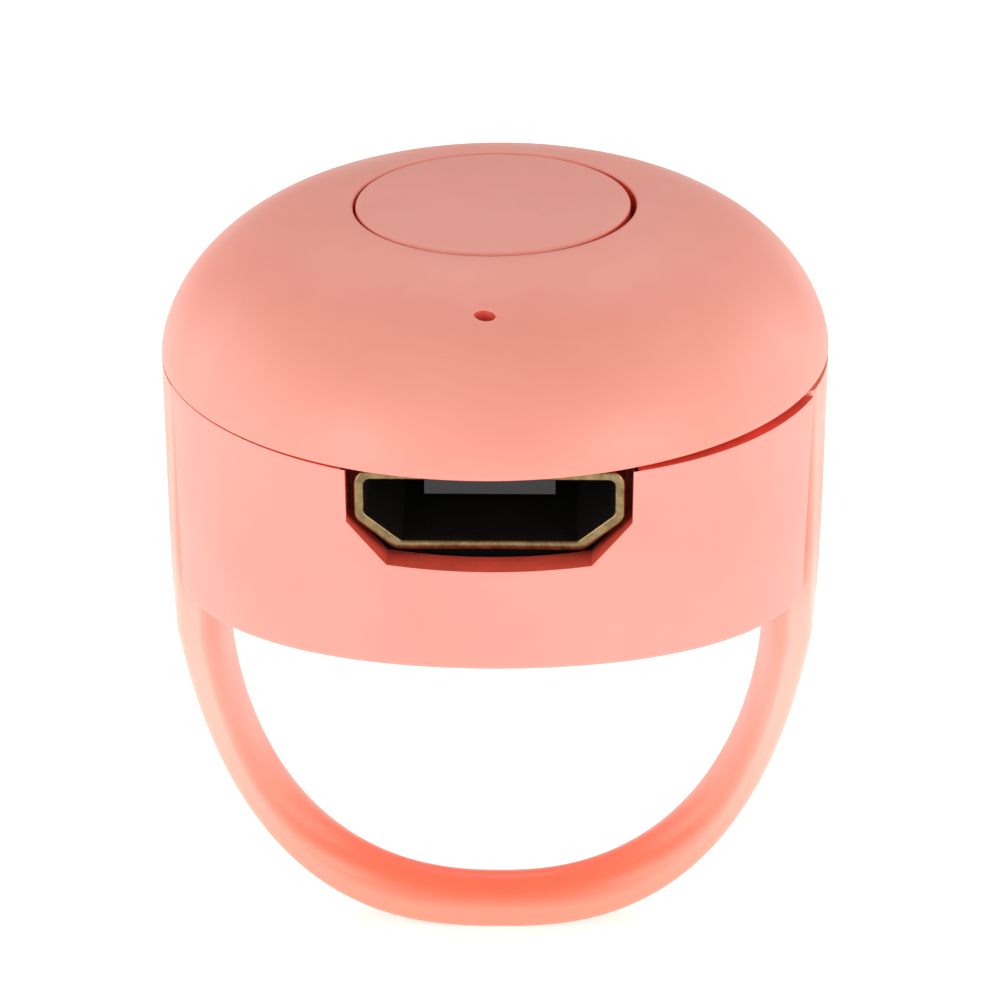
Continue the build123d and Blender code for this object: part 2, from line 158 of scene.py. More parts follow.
def lathe(name, profile, segments=384, closed=True):
    """Turns a profile of (r, z) about the Z axis. Points at r = 0 become one vertex."""
    verts, rings, faces = [], [], []
    for r, z in profile:
        if r < 1e-6:
            rings.append([len(verts)])
            verts.append((0, 0, z))
        else:
            start = len(verts)
            for j in range(segments):
                a = 2 * math.pi * j / segments
                verts.append((r * math.cos(a), r * math.sin(a), z))
            rings.append(list(range(start, start + segments)))
    count = len(rings)
    for i in range(count if closed else count - 1):
        a, b = rings[i], rings[(i + 1) % count]
        if len(a) == 1 and len(b) == 1:
            continue
        for j in range(segments):
            k = (j + 1) % segments
            if len(a) == 1:
                faces.append((a[0], b[k], b[j]))
            elif len(b) == 1:
                faces.append((a[j], a[k], b[0]))
            else:
                faces.append((a[j], a[k], b[k], b[j]))
    return make(name, verts, faces)


def lathe_arc(name, profile, a0, a1, segments=64):
    """A closed solid: the closed profile of (r, z) swept from angle a0 to a1, in degrees."""
    n = len(profile)
    verts, faces = [], []
    for j in range(segments + 1):
        a = math.radians(a0 + (a1 - a0) * j / segments)
        verts += [(r * math.cos(a), r * math.sin(a), z) for r, z in profile]
    for j in range(segments):
        for i in range(n):
            k = (i + 1) % n
            faces.append((j * n + i, j * n + k, (j + 1) * n + k, (j + 1) * n + i))
    faces.append(tuple(range(n - 1, -1, -1)))
    faces.append(tuple(segments * n + i for i in range(n)))
    return make(name, verts, faces)


def fix_normals(obj):
    bm = bmesh.new()
    bm.from_mesh(obj.data)
    bmesh.ops.recalc_face_normals(bm, faces=bm.faces)
    bm.to_mesh(obj.data)
    bm.free()


def join(target, *others):
    """Puts the meshes of the others into the target."""
    bm = bmesh.new()
    bm.from_mesh(target.data)
    for o in others:
        bm.from_mesh(o.data)
        bpy.data.objects.remove(o)
    bm.to_mesh(target.data)
    bm.free()


def crease(obj, degrees=38):
    """Smooth shading with sharp edges kept above an angle."""
    limit = math.radians(degrees)
    bm = bmesh.new()
    bm.from_mesh(obj.data)
    for e in bm.edges:
        if len(e.link_faces) == 2 and e.calc_face_angle(0) > limit:
            e.smooth = False
    bm.to_mesh(obj.data)
    bm.free()


def tilt(obj):
    """Raises a piece of the lid towards +X, from nothing at the -X side."""
    for v in obj.data.vertices:
        v.co.z += LID_TILT * (v.co.x + R * MM)


# ---------------------------------------------------------------- lid
def pin_point(direction, grow):
    """Point on the pinhole's oval, grown by that much, in a direction from its middle."""
    x = direction.dot(Vector((math.cos(PIN_TURN), math.sin(PIN_TURN))))
    y = direction.dot(Vector((-math.sin(PIN_TURN), math.cos(PIN_TURN))))
    a, b = PIN_HALF.x + grow, PIN_HALF.y + grow
    return PIN + direction / math.hypot(x / a, y / b)


def hole_loop(bm, radius, height, grow, depth, keep=()):
    """Opens the pinhole in one skin of the lid and returns its edge."""
    gone = []
    for f in bm.faces:
        c = f.calc_center_median() / MM
        flat = Vector((c.x, c.y)) - PIN
        if flat.length > 1 or abs(c.z - dome(math.hypot(c.x, c.y), radius, height)) > depth:
            continue
        if flat.length < (pin_point(flat.normalized(), grow) - PIN).length + 0.05:
            gone.append(f)
    bmesh.ops.delete(bm, geom=gone, context="FACES")
    loop = [e for e in bm.edges if len(e.link_faces) == 1 and e not in keep]
    for v in {v for e in loop for v in e.verts}:
        flat = Vector((v.co.x, v.co.y)) / MM - PIN
        x, y = pin_point(flat.normalized(), grow)
        v.co = Vector((x, y, dome(math.hypot(x, y), radius, height))) * MM
    return loop


def build_lid():
    lip = HOLE_R + 0.09
    profile = [(HOLE_R, SEAM + 3.3), (HOLE_R, dome(HOLE_R) - 0.5)]
    for i in range(6):
        a = math.radians(90 * i / 5)
        profile.append((lip - 0.09 * math.cos(a), dome(lip) - 0.09 + 0.09 * math.sin(a)))
    rings = 90
    for i in range(1, rings + 1):
        r = lip + (R - lip) * math.sin(math.pi / 2 * i / rings) ** 0.9
        if dome(r) > SEAM + 0.2:
            profile.append((r, dome(r)))
    profile += [(R - 0.004, SEAM + 0.13), (R, SEAM + 0.06)]
    profile += arc(R - 0.04, SEAM + 0.04, 0.04, 0, -90, 4)[1:]
    profile += [(R - WALL + 0.04, SEAM), (R - WALL, SEAM + 0.05), (R - WALL, SEAM + 0.3)]
    for i in range(50, -1, -1):
        r = 5.6 + (R - WALL - 0.02 - 5.6) * i / 50
        profile.append((r, dome(r, R - WALL, DOME_H - WALL)))
    # the collar that guides the cap's flange
    profile += [(5.5, SEAM + 2.05), (5.45, SEAM + 2.0), (4.87, SEAM + 2.0)]
    profile += [(4.83, SEAM + 2.05), (4.83, SEAM + 3.3)]
    lid = lathe("lid", profile)
    bm = bmesh.new()
    bm.from_mesh(lid.data)
    rim = hole_loop(bm, R, DOME_H, 0.05, 0.3)
    for grow, drop in ((0.03, 0.006), (0.01, 0.025), (0.0, 0.06), (0.0, 0.6)):
        ring = bmesh.ops.extrude_edge_only(bm, edges=rim)["geom"]
        for v in (g for g in ring if isinstance(g, bmesh.types.BMVert)):
            flat = Vector((v.co.x, v.co.y)) / MM - PIN
            x, y = pin_point(flat.normalized(), grow)
            v.co = Vector((x, y, dome(math.hypot(x, y)) - drop)) * MM
        rim = [g for g in ring if isinstance(g, bmesh.types.BMEdge) and len(g.link_faces) == 1]
    inner = hole_loop(bm, R - WALL, DOME_H - WALL, 0.0, 0.12, set(rim))
    bmesh.ops.bridge_loops(bm, edges=rim + inner)
    bmesh.ops.recalc_face_normals(bm, faces=bm.faces)
    for f in bm.faces:
        f.smooth = True
    bm.to_mesh(lid.data)
    bm.free()
    # three stretches of skirt inside the base's rim, clear of the arms and the socket
    inside = R - WALL
    skirt = [(inside - 0.05, SEAM + 0.2), (inside - 0.05, SEAM - 1.0), (inside - 0.12, SEAM - 1.1)]
    skirt += [(inside - 0.6, SEAM - 1.1), (inside - 0.65, SEAM - 1.04), (inside - 0.65, SEAM + 0.2)]
    arcs = [lathe_arc("skirt", skirt, a, b) for a, b in ((34, 146), (214, 240.2), (299.8, 326))]
    for s in arcs:
        fix_normals(s)
    join(lid, *arcs)
    crease(lid)
    return lid


# ---------------------------------------------------------------- button
def build_cap():
    top = []
    for i in range(26):
        r = (CAP_R - CAP_EDGE) * i / 25
        top.append((r, dome(r) - 0.012 * (r / CAP_R) ** 6))
    z = top[-1][1]
    profile = top + arc(CAP_R - CAP_EDGE, z - CAP_EDGE, CAP_EDGE, 90, 0, 6)[1:]
    shelf = SEAM + 3.2
    profile += [(CAP_R, shelf), (FLANGE_R, shelf), (FLANGE_R, shelf - FLANGE_T)]
    profile += [(3.1, shelf - FLANGE_T), (3.1, SEAM + 3.4)]
    profile += [(1.5, SEAM + 3.4), (1.5, SEAM + 2.02), (0, SEAM + 2.02)]
    cap = lathe("cap", profile, 256, closed=False)
    for v in cap.data.vertices:
        v.co.x += CAP_SHIFT * MM
    fix_normals(cap)
    crease(cap)
    return cap


# ---------------------------------------------------------------- base
def saddle(x):
    """Height of the base's underside at that x."""
    return SEAM - SADDLE_MID - SADDLE_DROP * (x / R) ** 2


def half_width(z):
    """Half the width of the band's arms at that height."""
    foot = BAND_OUT[1] - BAND_OUT[2]
    knee = SEAM - KNEE_DROP
    if z > knee:
        return KNEE_HALF + (TAB_HALF - KNEE_HALF) * min(1.0, (z - knee) / KNEE_DROP)
    return FOOT_HALF + (KNEE_HALF - FOOT_HALF) * max(0.0, (z - foot) / (knee - foot))


def recess_angle(z):
    """Half the angle that an arm's recess takes of the base's wall at that height."""
    width = half_width(max(z, SEAM - KNEE_DROP))
    return math.degrees(math.asin((width + ARM_GAP) / R))


def follow_recess(a, z):
    """Moves a column of the base's wall sideways so that the recess is as tapered as the arm."""
    middle = 180 if 90 < a < 270 else (360 if a >= 270 else 0)
    d = a - middle
    if middle == 360 and d < 0:
        return a    # the +X arm's front edge has straight sides, which leaves a groove
    top, now, still = recess_angle(SEAM), recess_angle(z), 60
    size = abs(d)
    if size <= top:
        size *= now / top
    elif size < still:
        size = now + (size - top) * (still - now) / (still - top)
    return middle + math.copysign(size, d)


def build_base():
    a_top = math.degrees(math.asin(NOTCH_TOP / R))
    a_low = math.degrees(math.asin(NOTCH_LOW / R))
    arm = recess_angle(SEAM)
    marks = [
        (arm, "cyl"), (180 - arm, "cyl"), (180 - arm, "tab"), (180 + arm, "tab"), (180 + arm, "cyl"),
        (270 - a_top, "cyl"), (270 - a_low, "cyl"), (270 + a_low, "cyl"), (270 + a_top, "cyl"),
        (360 - arm, "cyl"), (360 - arm, "tab"), (360, "tab"), (360 + arm, "tab"),
    ]
    columns = []
    for (a, from_kind), (b, to_kind) in zip(marks, marks[1:]):
        if b - a < 1e-6:
            columns.append((a, from_kind))
            continue
        steps = max(2, int(round((b - a) / 0.9)))
        for i in range(steps):
            columns.append((a + (b - a) * i / steps, to_kind if to_kind == from_kind else "cyl"))
    columns.append(marks[-1])
    floor = SEAM - FLOOR_DROP

    def notch(x):
        """Height of the lower edge of the socket's notch at that x."""
        x = abs(x)
        if x <= NOTCH_LOW:
            return SEAM - NOTCH_DROP
        share = min(1.0, (x - NOTCH_LOW) / (NOTCH_TOP - NOTCH_LOW))
        return SEAM - NOTCH_DROP + NOTCH_BEVEL * share

    def gap(x, y):
        """How far the rim stands below the joint line: the pry gap on the +X side of the socket."""
        if y < -TAB_HALF and x > NOTCH_TOP:
            return PRY_DROP * (x - NOTCH_TOP) / (PRY_END - NOTCH_TOP)
        return 0.0

    under, lower, upper = 10, 10, 10
    fillet = 0.2
    outer_cols, inner_cols, is_notch = [], [], []
    for a, kind in columns:
        t = math.radians(a)
        c, s = math.cos(t), math.sin(t)

        def place(z, a=a, c=c, kind=kind):
            turn = math.radians(follow_recess(a, z))
            if kind == "tab":
                return (math.copysign(TAB_X, c), R * math.sin(turn))
            r = R - (SEAM - z) * DRAFT
            return (r * math.cos(turn), r * math.sin(turn))

        col = []
        ex, ey = place(SEAM - 6)
        reach = math.hypot(ex, ey) - fillet
        ux, uy = ex / math.hypot(ex, ey), ey / math.hypot(ex, ey)
        for i in range(1, under + 1):
            k = i / under * reach
            col.append((k * ux, k * uy, saddle(k * ux)))
        for i in range(1, 6):
            q = math.radians(90 * i / 5)
            k = reach + fillet * math.sin(q)
            col.append((k * ux, k * uy, saddle(ex) + fillet * (1 - math.cos(q))))
        za = notch(R * c) if s < 0 else SEAM - 1.6
        z0 = saddle(ex) + fillet
        for i in range(1, lower + 1):
            z = z0 + (za - z0) * i / lower
            col.append((*place(z), z))
        zt = SEAM - gap(R * c, R * s) if kind == "cyl" else SEAM
        for i in range(1, upper + 1):
            z = za + (zt - za) * i / upper
            col.append((*place(z), z))
        outer_cols.append(col)
        # the inner wall keeps the same x at the notch and the same y at the arms
        ir = R - WALL
        x, y = ir * c, ir * s
        if s < -0.5 and abs(R * c) <= NOTCH_TOP + 1e-6:
            x = R * c
            y = -math.sqrt(ir * ir - x * x)
        col = []
        for i in range(upper + 1):
            z = zt + (za - zt) * i / upper
            col.append((x, y, z))
        for i in range(1, 6):
            z = za + (floor - za) * i / 5
            col.append((x, y, z))
        for i in range(4, 0, -1):
            col.append((x * i / 5, y * i / 5, floor))
        inner_cols.append(col)
        is_notch.append(s < -0.5 and abs(R * c) < NOTCH_TOP - 1e-6)
    n = len(columns)
    verts, faces = [], []
    no, ni = len(outer_cols[0]), len(inner_cols[0])
    for col in outer_cols:
        verts += col
    base_i = len(verts)
    for col in inner_cols:
        verts += col
    bottom, top = len(verts), len(verts) + 1
    verts += [(0, 0, saddle(0)), (0, 0, floor)]
    row_a = under + 5 + lower - 1

    def o(j, i):
        return (j % n) * no + i

    def q(j, i):
        return base_i + (j % n) * ni + i

    for j in range(n):
        k = j + 1
        hole = is_notch[j] or is_notch[k % n]
        faces.append((bottom, o(k, 0), o(j, 0)))
        for i in range(no - 1):
            if hole and i >= row_a:
                break
            faces.append((o(j, i), o(k, i), o(k, i + 1), o(j, i + 1)))
        if hole:
            faces.append((o(j, row_a), o(k, row_a), q(k, upper), q(j, upper)))
        else:
            faces.append((o(j, no - 1), o(k, no - 1), q(k, 0), q(j, 0)))
        for i in range(ni - 1):
            if hole and i < upper:
                continue
            faces.append((q(j, i), q(k, i), q(k, i + 1), q(j, i + 1)))
        faces.append((q(j, ni - 1), q(k, ni - 1), top))
    for j in range(n):
        edge = is_notch[(j + 1) % n] != is_notch[j]
        if edge:
            side = j if not is_notch[j] else j + 1
            for i in range(upper):
                near, far = upper - i, upper - i - 1
                faces.append((o(side, row_a + i), o(side, row_a + i + 1), q(side, far), q(side, near)))
    base = make("base", verts, faces)
    bm = bmesh.new()
    bm.from_mesh(base.data)
    bmesh.ops.remove_doubles(bm, verts=bm.verts, dist=2e-7)
    bmesh.ops.dissolve_degenerate(bm, edges=bm.edges, dist=1e-7)
    bmesh.ops.recalc_face_normals(bm, faces=bm.faces)
    sharp = [e for e in bm.edges if len(e.link_faces) == 2 and e.calc_face_angle(0) > math.radians(40)]
    bmesh.ops.bevel(
        bm, geom=sharp, offset=0.03 * MM, segments=3, profile=0.5, affect="EDGES", clamp_overlap=True
    )
    for f in bm.faces:
        f.smooth = True
    bm.to_mesh(base.data)
    bm.free()
    crease(base)
    return base


# ---------------------------------------------------------------- band
def arch_x(arch, z):
    """Half the width of an arch at that height."""
    half, top, drop, power = arch
    if z >= top:
        return half
    return half * max(0.0, 1 - ((top - z) / drop) ** power) ** (1 / power)


def band_section(inner, outer, soft):
    """One section of the band as (x, y, z): flat outside, rounded outer edges, and a crowned side
    towards the finger. inner and outer are its middle points in the X-Z plane, and soft is how thick
    the band is along its edges, or 0 for a section without a crown."""
    (ix, iz), (ox, oz) = inner, outer
    w = half_width(0.5 * (iz + oz))
    points = []

    def skin(y):
        return Vector((min(ox, math.sqrt(R * R - y * y)), oz))

    middle = Vector((ix, iz))
    side = skin(w)
    inward = (middle - side).normalized()
    crown = max(0.0, (middle - side).length - soft) if soft else 0.0
    flat = w - BAND_EDGE_R
    for i in range(SKIN_COLS + 1):
        y = -flat + 2 * flat * i / SKIN_COLS
        q = skin(y)
        points.append((q.x, y, q.y))
    bend = [math.radians(a) for a in (22.5, 45, 67.5, 90)]
    for a in bend:
        y = flat + BAND_EDGE_R * math.sin(a)
        q = skin(y) + inward * BAND_EDGE_R * (1 - math.cos(a))
        points.append((q.x, y, q.y))
    for i in range(CROWN_TURNS + 1):
        a = math.pi * i / CROWN_TURNS
        lift = crown * (1 - max(0.0, math.sin(a)) ** 1.15)
        q = middle - inward * lift
        points.append((q.x, w * math.cos(a), q.y))
    for a in reversed(bend):
        y = flat + BAND_EDGE_R * math.sin(a)
        q = skin(y) + inward * BAND_EDGE_R * (1 - math.cos(a))
        points.append((q.x, -y, q.y))
    return points


def build_band():
    foot = BAND_OUT[1] - BAND_OUT[2]
    # stations of (inner point, outer point, thickness along the edges), from the +X tip to the foot
    half = []
    tip = SEAM - 0.06
    under = saddle(TAB_X) - 0.02
    for i in range(15):
        z = tip + (under - tip) * i / 14
        half.append(((TAB_X + 0.02, z), (arch_x(BAND_OUT, z), z), 0))
    for i in range(9):
        z = under - 0.02 + (BAND_IN[1] - under + 0.02) * i / 8
        half.append(((BAND_IN[0], z), (arch_x(BAND_OUT, z), z), 0.6))
    turns = 64
    for i in range(1, turns + 1):
        u = math.pi / 2 * i / turns
        x = BAND_IN[0] * math.cos(u) ** (2 / BAND_IN[3]) if i < turns else 0.0
        z = BAND_IN[1] - BAND_IN[2] * math.sin(u) ** (2 / BAND_IN[3])
        d = Vector((x, z - BAND_IN[1])).normalized()
        lo, hi = 5.0, 20.0
        for _ in range(40):
            mid = (lo + hi) / 2
            px, pz = d.x * mid, BAND_IN[1] + d.y * mid
            inside = pz > foot and (px < arch_x(BAND_OUT, pz) or d.x < 1e-6)
            lo, hi = (mid, hi) if inside else (lo, mid)
        edge = 0.6 - 0.15 * math.sin(2 * u) + 0.08 * (1 - math.cos(2 * u)) / 2
        half.append(((x, z), (d.x * lo, BAND_IN[1] + d.y * lo), edge))
    verts, faces = [], []
    for side, run in ((1, half), (-1, reversed(half[:-1]))):
        for inner, outer, edge in run:
            ring = band_section(inner, outer, edge)
            verts += [(side * x, y, z) for x, y, z in ring]
    count = len(ring)
    total = 2 * len(half) - 1
    for j in range(total - 1):
        for i in range(count):
            k = (i + 1) % count
            faces.append((j * count + i, j * count + k, (j + 1) * count + k, (j + 1) * count + i))
    faces.append(tuple(range(count - 1, -1, -1)))
    faces.append(tuple((total - 1) * count + i for i in range(count)))
    band = make("band", verts, faces)
    # how deep the plastic is behind each point: none along the two edges, all of it elsewhere; it places the
    # painted highlight on the band's edges
    depth = band.data.attributes.new("depth", "FLOAT", "POINT")
    for v, value in zip(band.data.vertices, depth.data):
        i = v.index % count
        if CROWN_START <= i <= CROWN_START + CROWN_TURNS:
            value.value = math.sin(math.pi * (i - CROWN_START) / CROWN_TURNS)
        else:
            value.value = 1.0 if 1 < i < SKIN_COLS - 1 else 0.0
    fix_normals(band)
    crease(band, 50)
    return band


# ---------------------------------------------------------------- charging socket
def rounded(points, radius, steps=5):
    """A closed outline with its corners rounded."""
    out = []
    n = len(points)
    for i in range(n):
        p, a, b = Vector(points[i]), Vector(points[i - 1]), Vector(points[(i + 1) % n])
        u, v = (a - p).normalized(), (b - p).normalized()
        half = u.angle(v) / 2
        d = radius / math.tan(half)
        centre = p + (u + v).normalized() * radius / math.sin(half)
        start, stop = p + u * d - centre, p + v * d - centre
        turn = start.angle_signed(stop)
        for k in range(steps + 1):
            q = start.copy()
            q.rotate(Matrix.Rotation(-turn * k / steps, 2))
            out.append(tuple(centre + q))
    return out


def socket_outline(grow):
    """Corners of the socket's section, wide at the top and bevelled below; grow moves the wall out."""
    half = (usb_high.x - usb_low.x) / 2 + grow
    low, high = usb_low.z - grow, usb_high.z + grow
    bx, bz = 1.15 + 0.4 * grow, 0.95 + 0.4 * grow
    left = [(-half, high), (-half, low + bz), (-half + bx, low)]
    return left + [(-x, z) for x, z in reversed(left)]


def build_socket():
    sheet = 0.28
    rings = []
    front, back = usb_low.y, usb_high.y
    for y, grow in (
        (back, 0.0), (front + 0.3, 0.0), (front + 0.05, 0.0), (front + 0.015, -0.02), (front, -0.06),
        (front, -sheet + 0.06), (front + 0.015, -sheet + 0.02), (front + 0.05, -sheet),
        (front + 0.3, -sheet), (back, -sheet),
    ):
        loop = rounded(socket_outline(grow), 0.42 + grow if grow > -0.2 else 0.42 - sheet + 0.06)
        rings.append([(x, y, z) for x, z in loop])
    n = len(rings[0])
    verts = [v for ring in rings for v in ring]
    faces = []
    m = len(rings)
    for j in range(m):
        for i in range(n):
            k = (i + 1) % n
            a, b = j * n, ((j + 1) % m) * n
            faces.append((a + i, a + k, b + k, b + i))
    shell = make("socket", verts, faces)
    fix_normals(shell)
    crease(shell, 45)
    return shell


# ---------------------------------------------------------------- materials
def links(mat):
    """A material's node tree, its nodes and links, and its shader."""
    mat.use_nodes = True
    tree = mat.node_tree
    return tree, tree.nodes, tree.links, tree.nodes["Principled BSDF"]


def node(tree, kind, **values):
    """A new node with some of its inputs or settings given."""
    n = tree.nodes.new(kind)
    for key, value in values.items():
        if key in n.inputs:
            n.inputs[key].default_value = value
        else:
            setattr(n, key, value)
    return n


def plastic(name, colour, deep, rough, subsurface=0.12, grain=0.012, mottle=0.5):
    """Moulded pink plastic: slight cloudiness in the pigment, fine spark texture, and soft gloss."""
    mat = bpy.data.materials.new(name)
    tree, nodes, wires, shader = links(mat)
    place = nodes.new("ShaderNodeTexCoord")
    cloud = node(tree, "ShaderNodeTexNoise", Scale=140.0, Detail=3.0, Roughness=0.55)
    wires.new(place.outputs["Object"], cloud.inputs["Vector"])
    ramp = nodes.new("ShaderNodeValToRGB")
    ramp.color_ramp.elements[0].position = 0.5 - 0.5 * mottle
    ramp.color_ramp.elements[0].color = (*deep, 1)
    ramp.color_ramp.elements[1].position = 0.5 + 0.5 * mottle
    ramp.color_ramp.elements[1].color = (*colour, 1)
    wires.new(cloud.outputs["Fac"], ramp.inputs["Fac"])
    wires.new(ramp.outputs["Color"], shader.inputs["Base Color"])
    fine = node(tree, "ShaderNodeTexNoise", Scale=5200.0, Detail=2.0, Roughness=0.6)
    wires.new(place.outputs["Object"], fine.inputs["Vector"])
    wave = node(tree, "ShaderNodeTexNoise", Scale=420.0, Detail=1.0, Roughness=0.4)
    wires.new(place.outputs["Object"], wave.inputs["Vector"])
    gloss = node(tree, "ShaderNodeMapRange")
    gloss.inputs["From Min"].default_value = 0.3
    gloss.inputs["From Max"].default_value = 0.7
    gloss.inputs["To Min"].default_value = rough - 0.05
    gloss.inputs["To Max"].default_value = rough + 0.06
    wires.new(wave.outputs["Fac"], gloss.inputs["Value"])
    wires.new(gloss.outputs["Result"], shader.inputs["Roughness"])
    bump_fine = node(tree, "ShaderNodeBump", Strength=0.35, Distance=grain * MM)
    wires.new(fine.outputs["Fac"], bump_fine.inputs["Height"])
    bump_wave = node(tree, "ShaderNodeBump", Strength=0.4, Distance=0.03 * MM)
    wires.new(wave.outputs["Fac"], bump_wave.inputs["Height"])
    wires.new(bump_fine.outputs["Normal"], bump_wave.inputs["Normal"])
    wires.new(bump_wave.outputs["Normal"], shader.inputs["Normal"])
    shader.inputs["Subsurface Weight"].default_value = subsurface
    shader.inputs["Subsurface Radius"].default_value = (1.0, 0.35, 0.22)
    shader.inputs["Subsurface Scale"].default_value = 0.9 * MM
    shader.inputs["Specular IOR Level"].default_value = 0.5
    return mat


def paint_band_highlight_and_shade(mat, edge_highlight_tint, low):
    """Painted light on the band's colour, for light that passes through and bounces inside the plastic: a
    painted highlight, paler along its two edges, and painted shade in the tint low, deeper at its lowest
    part.
    """
    tree, nodes, wires, shader = links(mat)
    colour = shader.inputs["Base Color"].links[0].from_socket
    place = nodes.new("ShaderNodeTexCoord")
    split = nodes.new("ShaderNodeSeparateXYZ")
    wires.new(place.outputs["Object"], split.inputs[0])
    # painted shade: deeper red towards the band's lowest part
    height = node(tree, "ShaderNodeMapRange", interpolation_type="SMOOTHSTEP")
    height.inputs["From Min"].default_value = band_low.z * MM
    height.inputs["From Max"].default_value = (SEAM - 9.5) * MM
    height.inputs["To Min"].default_value = 1.0
    height.inputs["To Max"].default_value = 0.0
    wires.new(split.outputs["Z"], height.inputs["Value"])
    # painted highlight: paler along the band's two edges, weaker towards the bottom and beside the base
    depth = node(tree, "ShaderNodeAttribute", attribute_name="depth")
    edge = node(tree, "ShaderNodeMapRange", interpolation_type="SMOOTHSTEP")
    edge.inputs["From Max"].default_value = 0.75
    edge.inputs["To Min"].default_value = 1.0
    edge.inputs["To Max"].default_value = 0.0
    wires.new(depth.outputs["Fac"], edge.inputs["Value"])
    fade = node(tree, "ShaderNodeMapRange")
    fade.inputs["To Min"].default_value = 1.0
    fade.inputs["To Max"].default_value = 0.35
    wires.new(height.outputs["Result"], fade.inputs["Value"])
    edge_highlight = node(tree, "ShaderNodeMath", operation="MULTIPLY")
    wires.new(edge.outputs["Result"], edge_highlight.inputs[0])
    wires.new(fade.outputs["Result"], edge_highlight.inputs[1])
    beside_base = node(tree, "ShaderNodeMapRange", interpolation_type="SMOOTHSTEP")
    beside_base.inputs["From Min"].default_value = (SEAM - 8.0) * MM
    beside_base.inputs["From Max"].default_value = (SEAM - 5.0) * MM
    beside_base.inputs["To Min"].default_value = 1.0
    beside_base.inputs["To Max"].default_value = 0.2
    wires.new(split.outputs["Z"], beside_base.inputs["Value"])
    edge_highlight_kept = node(tree, "ShaderNodeMath", operation="MULTIPLY")
    wires.new(edge_highlight.outputs[0], edge_highlight_kept.inputs[0])
    wires.new(beside_base.outputs["Result"], edge_highlight_kept.inputs[1])
    # mixes in the painted shade first, then the painted highlight
    for factor, tint in ((height.outputs["Result"], low), (edge_highlight_kept.outputs[0], edge_highlight_tint)):
        mix = node(tree, "ShaderNodeMix", data_type="RGBA")
        wires.new(factor, mix.inputs[0])
        wires.new(colour, mix.inputs[6])
        mix.inputs[7].default_value = (*tint, 1)
        colour = mix.outputs[2]
    wires.new(colour, shader.inputs["Base Color"])


def simple(name, colour, rough, metallic=0.0, scale=2500.0, vary=0.12, bump=0.01, stretch=None):
    """A plain material with a fine noise in its colour, gloss and relief."""
    mat = bpy.data.materials.new(name)
    tree, nodes, wires, shader = links(mat)
    place = nodes.new("ShaderNodeTexCoord")
    source = place.outputs["Object"]
    if stretch:
        mapping = node(tree, "ShaderNodeMapping")
        mapping.inputs["Scale"].default_value = stretch
        wires.new(source, mapping.inputs["Vector"])
        source = mapping.outputs["Vector"]
    noise = node(tree, "ShaderNodeTexNoise", Scale=scale, Detail=3.0, Roughness=0.6)
    wires.new(source, noise.inputs["Vector"])
    ramp = nodes.new("ShaderNodeValToRGB")
    ramp.color_ramp.elements[0].position = 0.3
    ramp.color_ramp.elements[0].color = (*[c * (1 - vary) for c in colour], 1)
    ramp.color_ramp.elements[1].position = 0.7
    ramp.color_ramp.elements[1].color = (*[min(1.0, c * (1 + vary)) for c in colour], 1)
    wires.new(noise.outputs["Fac"], ramp.inputs["Fac"])
    wires.new(ramp.outputs["Color"], shader.inputs["Base Color"])
    gloss = node(tree, "ShaderNodeMapRange")
    gloss.inputs["To Min"].default_value = max(0.02, rough - 0.08)
    gloss.inputs["To Max"].default_value = min(1.0, rough + 0.08)
    wires.new(noise.outputs["Fac"], gloss.inputs["Value"])
    wires.new(gloss.outputs["Result"], shader.inputs["Roughness"])
    relief = node(tree, "ShaderNodeBump", Strength=0.4, Distance=bump * MM)
    wires.new(noise.outputs["Fac"], relief.inputs["Height"])
    wires.new(relief.outputs["Normal"], shader.inputs["Normal"])
    shader.inputs["Metallic"].default_value = metallic
    return mat


def dress(obj, *mats, pick=None):
    """Gives an object its materials; pick chooses one for a face from its middle in mm and its normal."""
    obj.data.materials.clear()
    for mat in mats:
        obj.data.materials.append(mat)
    if pick:
        for p in obj.data.polygons:
            p.material_index = pick(p.center / MM, p.normal)


def lid_side(c, n):
    """0 outside, 1 (painted shade, deep red) on the edges of the joint and the holes, 2 (painted shade, near
    black) inside.
    """
    r = math.hypot(c.x, c.y)
    if r > R - 0.5 and c.z > SEAM + 0.03:
        return 0
    if c.z > dome(r) - 0.1:
        return 0
    if r > R - WALL and c.z < SEAM + 0.04:
        return 1
    if abs(r - HOLE_R) < 0.02 or (Vector((c.x, c.y)) - PIN).length < 0.35:
        return 1
    return 2


def base_side(c, n):
    """0 outside, 1 (painted shade, deep red) on the rim and the socket's notch, 2 (painted shade, near black)
    inside.
    """
    r = math.hypot(c.x, c.y)
    at_notch = c.y < -8 and abs(c.x) < 4.06 and c.z > SEAM - 2.78
    if r < R - WALL + 0.01 and c.z > SEAM - 4.92 and (n.z > 0.7 or n.x * c.x + n.y * c.y < 0):
        return 2
    if at_notch and abs(n.x * c.x + n.y * c.y) < 0.75 * r:
        return 1
    if n.z > 0.7 and c.z > SEAM - 0.32:
        return 1
    return 0


def cap_side(c, n):
    """0 on the button's top, 1 (painted shade, deep red) on its side and underneath."""
    return 0 if c.z > dome(CAP_R) - 0.13 else 1


def socket_side(c, n):
    """0 outside and on the mouth's rim, 1 (painted shade, near black) inside."""
    to_axis = Vector((-c.x, (usb_low.z + usb_high.z) / 2 - c.z))
    return 1 if c.y > usb_low.y + 0.04 and to_axis.dot(Vector((n.x, n.z))) > 0 else 0


